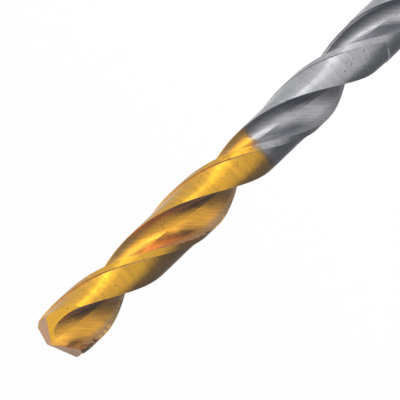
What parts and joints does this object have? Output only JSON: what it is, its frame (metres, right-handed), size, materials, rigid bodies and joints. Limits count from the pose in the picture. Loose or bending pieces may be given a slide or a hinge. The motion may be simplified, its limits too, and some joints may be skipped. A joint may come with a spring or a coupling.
{
  "type": "twist drill bit",
  "caption": "Straight-shank jobber twist drill for metal with spiral flutes, narrow margins, a split point and a golden nitride coating on the cutting half.",
  "frame": {"origin": "centre of the shank's flat end", "axes": "+Z along the drill's axis from the shank to the point, X along the lips"},
  "size_m": [0.005, 0.005, 0.086],
  "materials": {
    "twist_drill": "ground high-speed steel with a golden titanium nitride coat on the cutting half"
  },
  "bodies": {
    "root": {"twist_drill": "twist_drill"}
  },
  "joints": []
}
